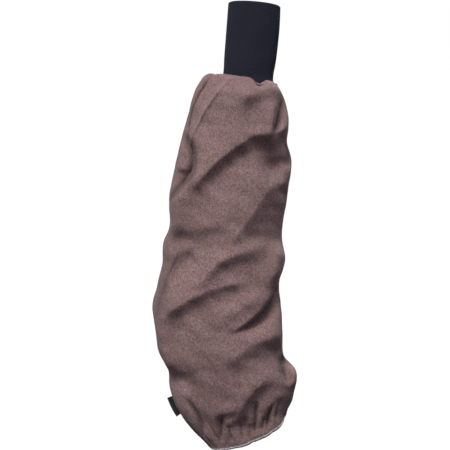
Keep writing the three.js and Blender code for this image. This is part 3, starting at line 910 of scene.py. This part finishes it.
def twill_cloth(name, tone):
    """Colour and bump of the twill, for one piece, made darker or lighter by tone. A piece without the
    attribute of painted shade and rub reads 0 for it, which changes nothing."""
    cloth = Finish(name, Sheen_Weight=0.08, Sheen_Roughness=0.5, Specular_IOR_Level=0.2)
    across, along = cloth.flat()
    c, s = float(np.cos(TWILL_SLANT)), float(np.sin(TWILL_SLANT))
    yarn_along = across * c + along * s
    yarn_across = along * c - across * s
    wale = yarn_across / WALE
    float_place = yarn_along / FLOAT + FLOAT_STEP * wale.floor()
    yarn = cloth.cell_noise(wale.floor(), float_place.floor())
    blend_place = cloth.place(yarn_along / BLEND_LENGTH + BLEND_SHIFT, yarn_across / BLEND_WIDTH)
    blends = cloth.noise(blend_place, 1.0)
    streaks = cloth.noise(cloth.place(yarn_along / STREAK_LENGTH, yarn_across / STREAK_WIDTH), 2.0, 0.6)
    fading = cloth.noise(cloth.place(across / PATCH_WIDTH, along / PATCH_LENGTH, 7.0), 2.0)
    base = cloth.mix(blends.ease(0.35, 0.65), MAUVE, SAND)
    base = cloth.mix((0.4 - yarn).ease(0.0, 0.4), base, SHADOW_YARN)
    base = cloth.mix((yarn - 0.6).ease(0.0, 0.4), base, PALE_YARN)
    rise = wale.arch() * (0.6 + 0.4 * float_place.arch())
    shade_and_rub_read = cloth.node("ShaderNodeAttribute", {"attribute_name": "shade_and_rub"}, output=2)
    # Painted shade: darker in the grooves between the floats and in the creases; paler on the crisp ridges,
    # partly rubbed cloth and partly a painted highlight.
    shade = tone * (0.86 + 0.28 * fading) * (0.90 + 0.10 * streaks) * (0.9 + 0.2 * rise)
    shade = shade * (1 + RIDGE_RUB_AND_HIGHLIGHT * shade_and_rub_read.ease(0.0, 1.0) - CREASE_PAINTED_SHADE * (0 - shade_and_rub_read).ease(0.0, 1.0))
    return cloth, cloth.scale(base, shade), cloth.bump(rise + streaks * 0.12, 0.3, 0.6)


cloth, cloth_colour, cloth_bump = twill_cloth("brown_twill", 1.0)
cloth.cover(body, Base_Color=cloth_colour, Roughness=0.95, Normal=cloth_bump)
# The hem's twill is made 5 per cent lighter than the body's, painted light against the shade of its
# downward-facing band.
hem_cloth, hem_lightened_colour, hem_bump = twill_cloth("hem_twill_lightened", 1.05)
hem_cloth.cover(hem, Base_Color=hem_lightened_colour, Roughness=0.95, Normal=hem_bump)

# %% [markdown]
# ## Navy knit, black ribbon and sewing thread
#
# The knit is matt and nearly black, with a trace of lighter fibre. Its ribs are in the mesh, so only the
# loops are left to the bump. The ribbon is tightly woven, so it shines a little more, with fine cross ribs.
# The thread is twisted, which a slanting wave along it shows. All of them read the place on the flat cloth,
# so their patterns follow the piece round its bends.

# %% The knit's finish
FULL_WAVE = 2 * np.pi
LOOP_HEIGHT, LOOP_WIDTH = 1.4, 1.97
NAVY_DARK, NAVY_PALE = (0.0105, 0.0116, 0.0212, 1), (0.0178, 0.0196, 0.0326, 1)

knit = Finish("navy_knit", Sheen_Weight=0.12, Sheen_Roughness=0.4, Specular_IOR_Level=0.12)
across, along = knit.flat()
fibres = knit.noise(knit.place(across / 0.9, along / 2.2), 2.0, 0.6)
loops = (along * (FULL_WAVE / LOOP_HEIGHT) + (across * (FULL_WAVE / LOOP_WIDTH)).wave() * 1.2).wave()
patches = knit.noise(knit.place(across / 24, along / 30, 3.0), 2.0)
navy = knit.scale(knit.mix(fibres.ease(0.35, 0.75), NAVY_DARK, NAVY_PALE), 0.8 + 0.4 * patches)
knit.cover(cuff, Base_Color=navy, Roughness=0.92, Normal=knit.bump(fibres * 0.5 + loops * 0.3, 0.25, 0.7))

# %% The ribbon's finish
PICK = 0.9
BLACK_DARK, BLACK_PALE = (0.0095, 0.0105, 0.0165, 1), (0.0200, 0.0215, 0.0300, 1)

woven = Finish("black_ribbon", Specular_IOR_Level=0.35)
across, along = woven.flat()
picks = (along * (FULL_WAVE / PICK)).wave()
lint = woven.noise(woven.place(across / 2.0, along / 2.0), 2.0)
black = woven.mix(lint.ease(0.4, 0.75), BLACK_DARK, BLACK_PALE)
woven.cover(label, Base_Color=black, Roughness=0.55 + 0.25 * lint, Normal=woven.bump(picks, 0.12, 0.6))

# %% The threads' finishes
TWIST = 0.8

for thread_object, dark, light in (
    (overlock, (0.55, 0.50, 0.53, 1), (0.85, 0.81, 0.85, 1)),
    (needle, (0.24, 0.18, 0.19, 1), (0.36, 0.29, 0.30, 1)),
    (running, (0.20, 0.14, 0.14, 1), (0.30, 0.22, 0.22, 1)),
):
    twist = Finish(thread_object.name, Sheen_Weight=0.2, Specular_IOR_Level=0.3)
    across, along = twist.flat()
    strands = (along * (FULL_WAVE / TWIST) + across * 3.0).wave()
    soil = twist.noise(twist.place(along / 9.0, 0.0), 2.0)
    yarn_colour = twist.mix(soil.ease(0.35, 0.7), dark, light)
    twist.cover(thread_object, Base_Color=yarn_colour, Roughness=0.8, Normal=twist.bump(strands, 0.1, 0.7))

# %% [markdown]
# ## Tying the pieces to the frame
#
# Nothing on the sleeve turns on a joint, so every piece rides on the one body of the frame and stands for the
# plain solid below it.

# %% Ride and replace
for piece, node, slot in (
    (body, "sleeve_body", "brown_cloth"),
    (cuff, "wrist_cuff", "navy_knit"),
    (hem, "elastic_hem", "hem_cloth"),
    (label, "seam_label", "black_ribbon"),
):
    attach(piece, "root")
    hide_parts(node)
for piece in (overlock, needle, running):
    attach(piece, "root")

# %% [markdown]
# ## The studio
#
# The sleeve hangs before a plain white sweep. The sweep is a shallow bowl, so that it lies behind the sleeve
# from every side. It glows evenly and takes no part in the lighting. A broad key lamp, high on the left,
# models the folds, a weak fill on the right opens their shadows, and an edge lamp behind lights the back. A
# little light comes from all round, more of it from above.

# %% The sweep
FLOOR, FLOOR_RADIUS, BEND_RADIUS, WALL_HEIGHT = -640.0, 2200, 800, 2600
FLOOR_ENDS, BEND_ENDS = 0.4, 0.7


def sweep(radius_share, turn):
    """A disc that curves up into a wall: radius and height of a flat, a quarter round and a wall, turned."""
    flat = np.clip(radius_share / FLOOR_ENDS, 0, 1)
    bend = np.clip((radius_share - FLOOR_ENDS) / (BEND_ENDS - FLOOR_ENDS), 0, 1) * np.pi / 2
    wall = np.clip((radius_share - BEND_ENDS) / (1 - BEND_ENDS), 0, 1)
    radius = 0.5 + FLOOR_RADIUS * flat + BEND_RADIUS * np.sin(bend)
    height = FLOOR + BEND_RADIUS * (1 - np.cos(bend)) + WALL_HEIGHT * wall
    return np.stack([radius * np.sin(turn), -radius * np.cos(turn), height], -1)


SWEEP_ROWS, SWEEP_COLUMNS = 40, 64
sweep_turns = 2 * np.pi * np.arange(SWEEP_COLUMNS) / SWEEP_COLUMNS
share_grid, turn_grid = np.meshgrid(np.linspace(1, 0, SWEEP_ROWS), sweep_turns, indexing="ij")
sweep_points = sweep(share_grid, turn_grid)
floor = grid_piece("studio_sweep", sweep_points, np.arange(SWEEP_COLUMNS + 1.0), np.arange(float(SWEEP_ROWS)))
paper = Finish("white_paper", Roughness=0.9, Emission_Color=(1, 1, 1, 1), Emission_Strength=1.0)
paper.cover(floor, Base_Color=(0, 0, 0, 1))
for kind in ("diffuse", "glossy", "transmission", "shadow"):
    setattr(floor, "visible_" + kind, False)


# %% The lamps
def lamp(name, place, aim, size, power, colour):
    """A square lamp at a place in mm, which shines at another place."""
    data = bpy.data.lights.new(name, "AREA")
    data.size = size * MM
    data.energy = power
    data.color = colour
    lamp_object = bpy.data.objects.new(name, data)
    lamp_object.location = np.multiply(place, MM)
    lamp_object.rotation_euler = Vector(np.subtract(aim, place)).to_track_quat("-Z", "Y").to_euler()
    bpy.context.scene.collection.objects.link(lamp_object)


MIDDLE = (-40, 0, -280)
WARM, SOFT_WHITE = (1.0, 1.0, 0.95), (1.0, 0.985, 0.98)
lamp("key", (-1360, -2800, 3680), MIDDLE, 1800, 325, WARM)
lamp("fill", (900, -1500, 600), MIDDLE, 1500, 4.5, SOFT_WHITE)
lamp("edge", (950, 1400, 1300), MIDDLE, 1200, 45, SOFT_WHITE)

# %% The light from all round
AIR_BELOW, AIR_ABOVE = 0.12, 0.27
AIR_COLOUR = (0.80, 0.80, 1.0, 1)
world = bpy.data.worlds.new("studio air")
world.use_nodes = True
nodes, links = world.node_tree.nodes, world.node_tree.links
sky = nodes.new("ShaderNodeTexCoord")
height = nodes.new("ShaderNodeSeparateXYZ")
ramp = nodes.new("ShaderNodeMapRange")
for socket, value in (("From Min", -1.0), ("From Max", 1.0), ("To Min", AIR_BELOW), ("To Max", AIR_ABOVE)):
    ramp.inputs[socket].default_value = value
links.new(sky.outputs["Generated"], height.inputs[0])
links.new(height.outputs["Z"], ramp.inputs["Value"])
links.new(ramp.outputs["Result"], nodes["Background"].inputs["Strength"])
nodes["Background"].inputs["Color"].default_value = AIR_COLOUR
bpy.context.scene.world = world
print("air: strength %.2f from below to %.2f from above" % (AIR_BELOW, AIR_ABOVE))

# %% [markdown]
# ## The camera
#
# The camera stands a little over a metre in front of the sleeve and looks straight along +Y. An orthographic
# one would be simpler, but the near cloth has to look a little larger, as it does to the eye. The lens takes
# in 675 mm at the depth of the arm, and the picture is square.

# %% The camera
VIEW_WIDTH = 675.0
SENSOR = 36
camera_data = bpy.data.cameras.new("camera")
camera_data.sensor_width = SENSOR
camera_data.lens = SENSOR * VIEW_DISTANCE / VIEW_WIDTH
camera = bpy.data.objects.new("camera", camera_data)
camera.location = (VIEW_X * MM, -VIEW_DISTANCE * MM, VIEW_Z * MM)
camera.rotation_euler = (np.pi / 2, 0, 0)
bpy.context.scene.collection.objects.link(camera)
bpy.context.scene.camera = camera
bpy.context.scene.view_settings.view_transform = "Standard"
print("lens %.1f mm" % camera_data.lens)
